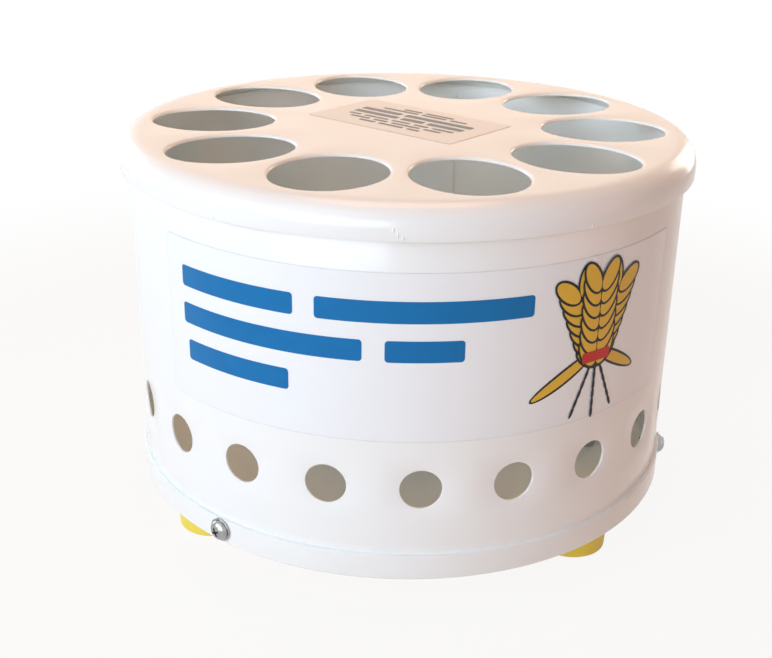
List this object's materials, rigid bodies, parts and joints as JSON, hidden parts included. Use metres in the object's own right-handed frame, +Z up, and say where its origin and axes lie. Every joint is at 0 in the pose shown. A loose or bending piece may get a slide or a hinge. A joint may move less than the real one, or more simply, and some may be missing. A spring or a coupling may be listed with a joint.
{
  "type": "egg candling lamp",
  "caption": "Round sheet-metal egg candling lamp: a vented drum on rubber feet with a lift-off lid whose ring of oval holes holds eggs over a bulb lying inside.",
  "frame": {"origin": "on the floor under the feet, on the drum's axis", "axes": "+Z up along the drum's axis; -Y is the front, where the row of vents is centred; the lamp's axis lies along X"},
  "size_m": [0.22, 0.22, 0.1486],
  "materials": {
    "white_enamel": "glossy baked enamel on sheet steel",
    "zinc_plate": "bright zinc plate",
    "yellow_rubber": "moulded, matt",
    "black_rubber": "moulded, matt",
    "galvanised_steel": "galvanised sheet",
    "holder_ceramic": "white glaze",
    "brass": "plain brass",
    "polyamide": "moulded, natural white",
    "brown_insulation": "extruded sleeve",
    "blue_insulation": "extruded sleeve",
    "clear_glass": "blown, clear",
    "cap_aluminium": "rolled thread, bright",
    "black_glass": "fused, glossy",
    "solder": "tinned",
    "nickel_wire": "drawn wire",
    "tungsten": "drawn wire"
  },
  "bodies": {
    "base": {"base_pan": "white_enamel", "drum_shell": "white_enamel", "pan_screws": "zinc_plate", "pan_washers": "zinc_plate", "pan_nuts": "zinc_plate", "foot_front_left": "yellow_rubber", "foot_front_right": "yellow_rubber", "foot_rear": "yellow_rubber", "foot_screws": "zinc_plate", "foot_washers": "zinc_plate", "foot_nuts": "zinc_plate", "cord_grommet": "black_rubber", "lamp_bracket": "galvanised_steel", "bracket_screws": "zinc_plate", "bracket_nuts": "zinc_plate", "holder_base": "holder_ceramic", "holder_sleeve": "holder_ceramic", "holder_shell": "brass", "holder_contact": "brass", "holder_posts": "brass", "holder_screws": "zinc_plate", "terminal_block": "polyamide", "terminal_sleeves": "brass", "terminal_screws": "zinc_plate", "block_screw": "zinc_plate", "block_nut": "zinc_plate", "lead_live": "brown_insulation", "lead_neutral": "blue_insulation"},
    "lid": {"lid": "white_enamel"},
    "bulb": {"bulb_glass": "clear_glass", "bulb_cap": "cap_aluminium", "bulb_insulator": "black_glass", "bulb_contact": "solder", "bulb_stem": "clear_glass", "bulb_wires": "nickel_wire", "bulb_filament": "tungsten"}
  },
  "joints": [
    {"name": "lid_lift", "type": "slide", "parent": "base", "child": "lid", "axis": [0, 0, 1], "range_m": [0, 0.1]},
    {"name": "bulb_withdraw", "type": "slide", "parent": "base", "child": "bulb", "axis": [-1, 0, 0], "range_m": [0, 0.03]}
  ]
}
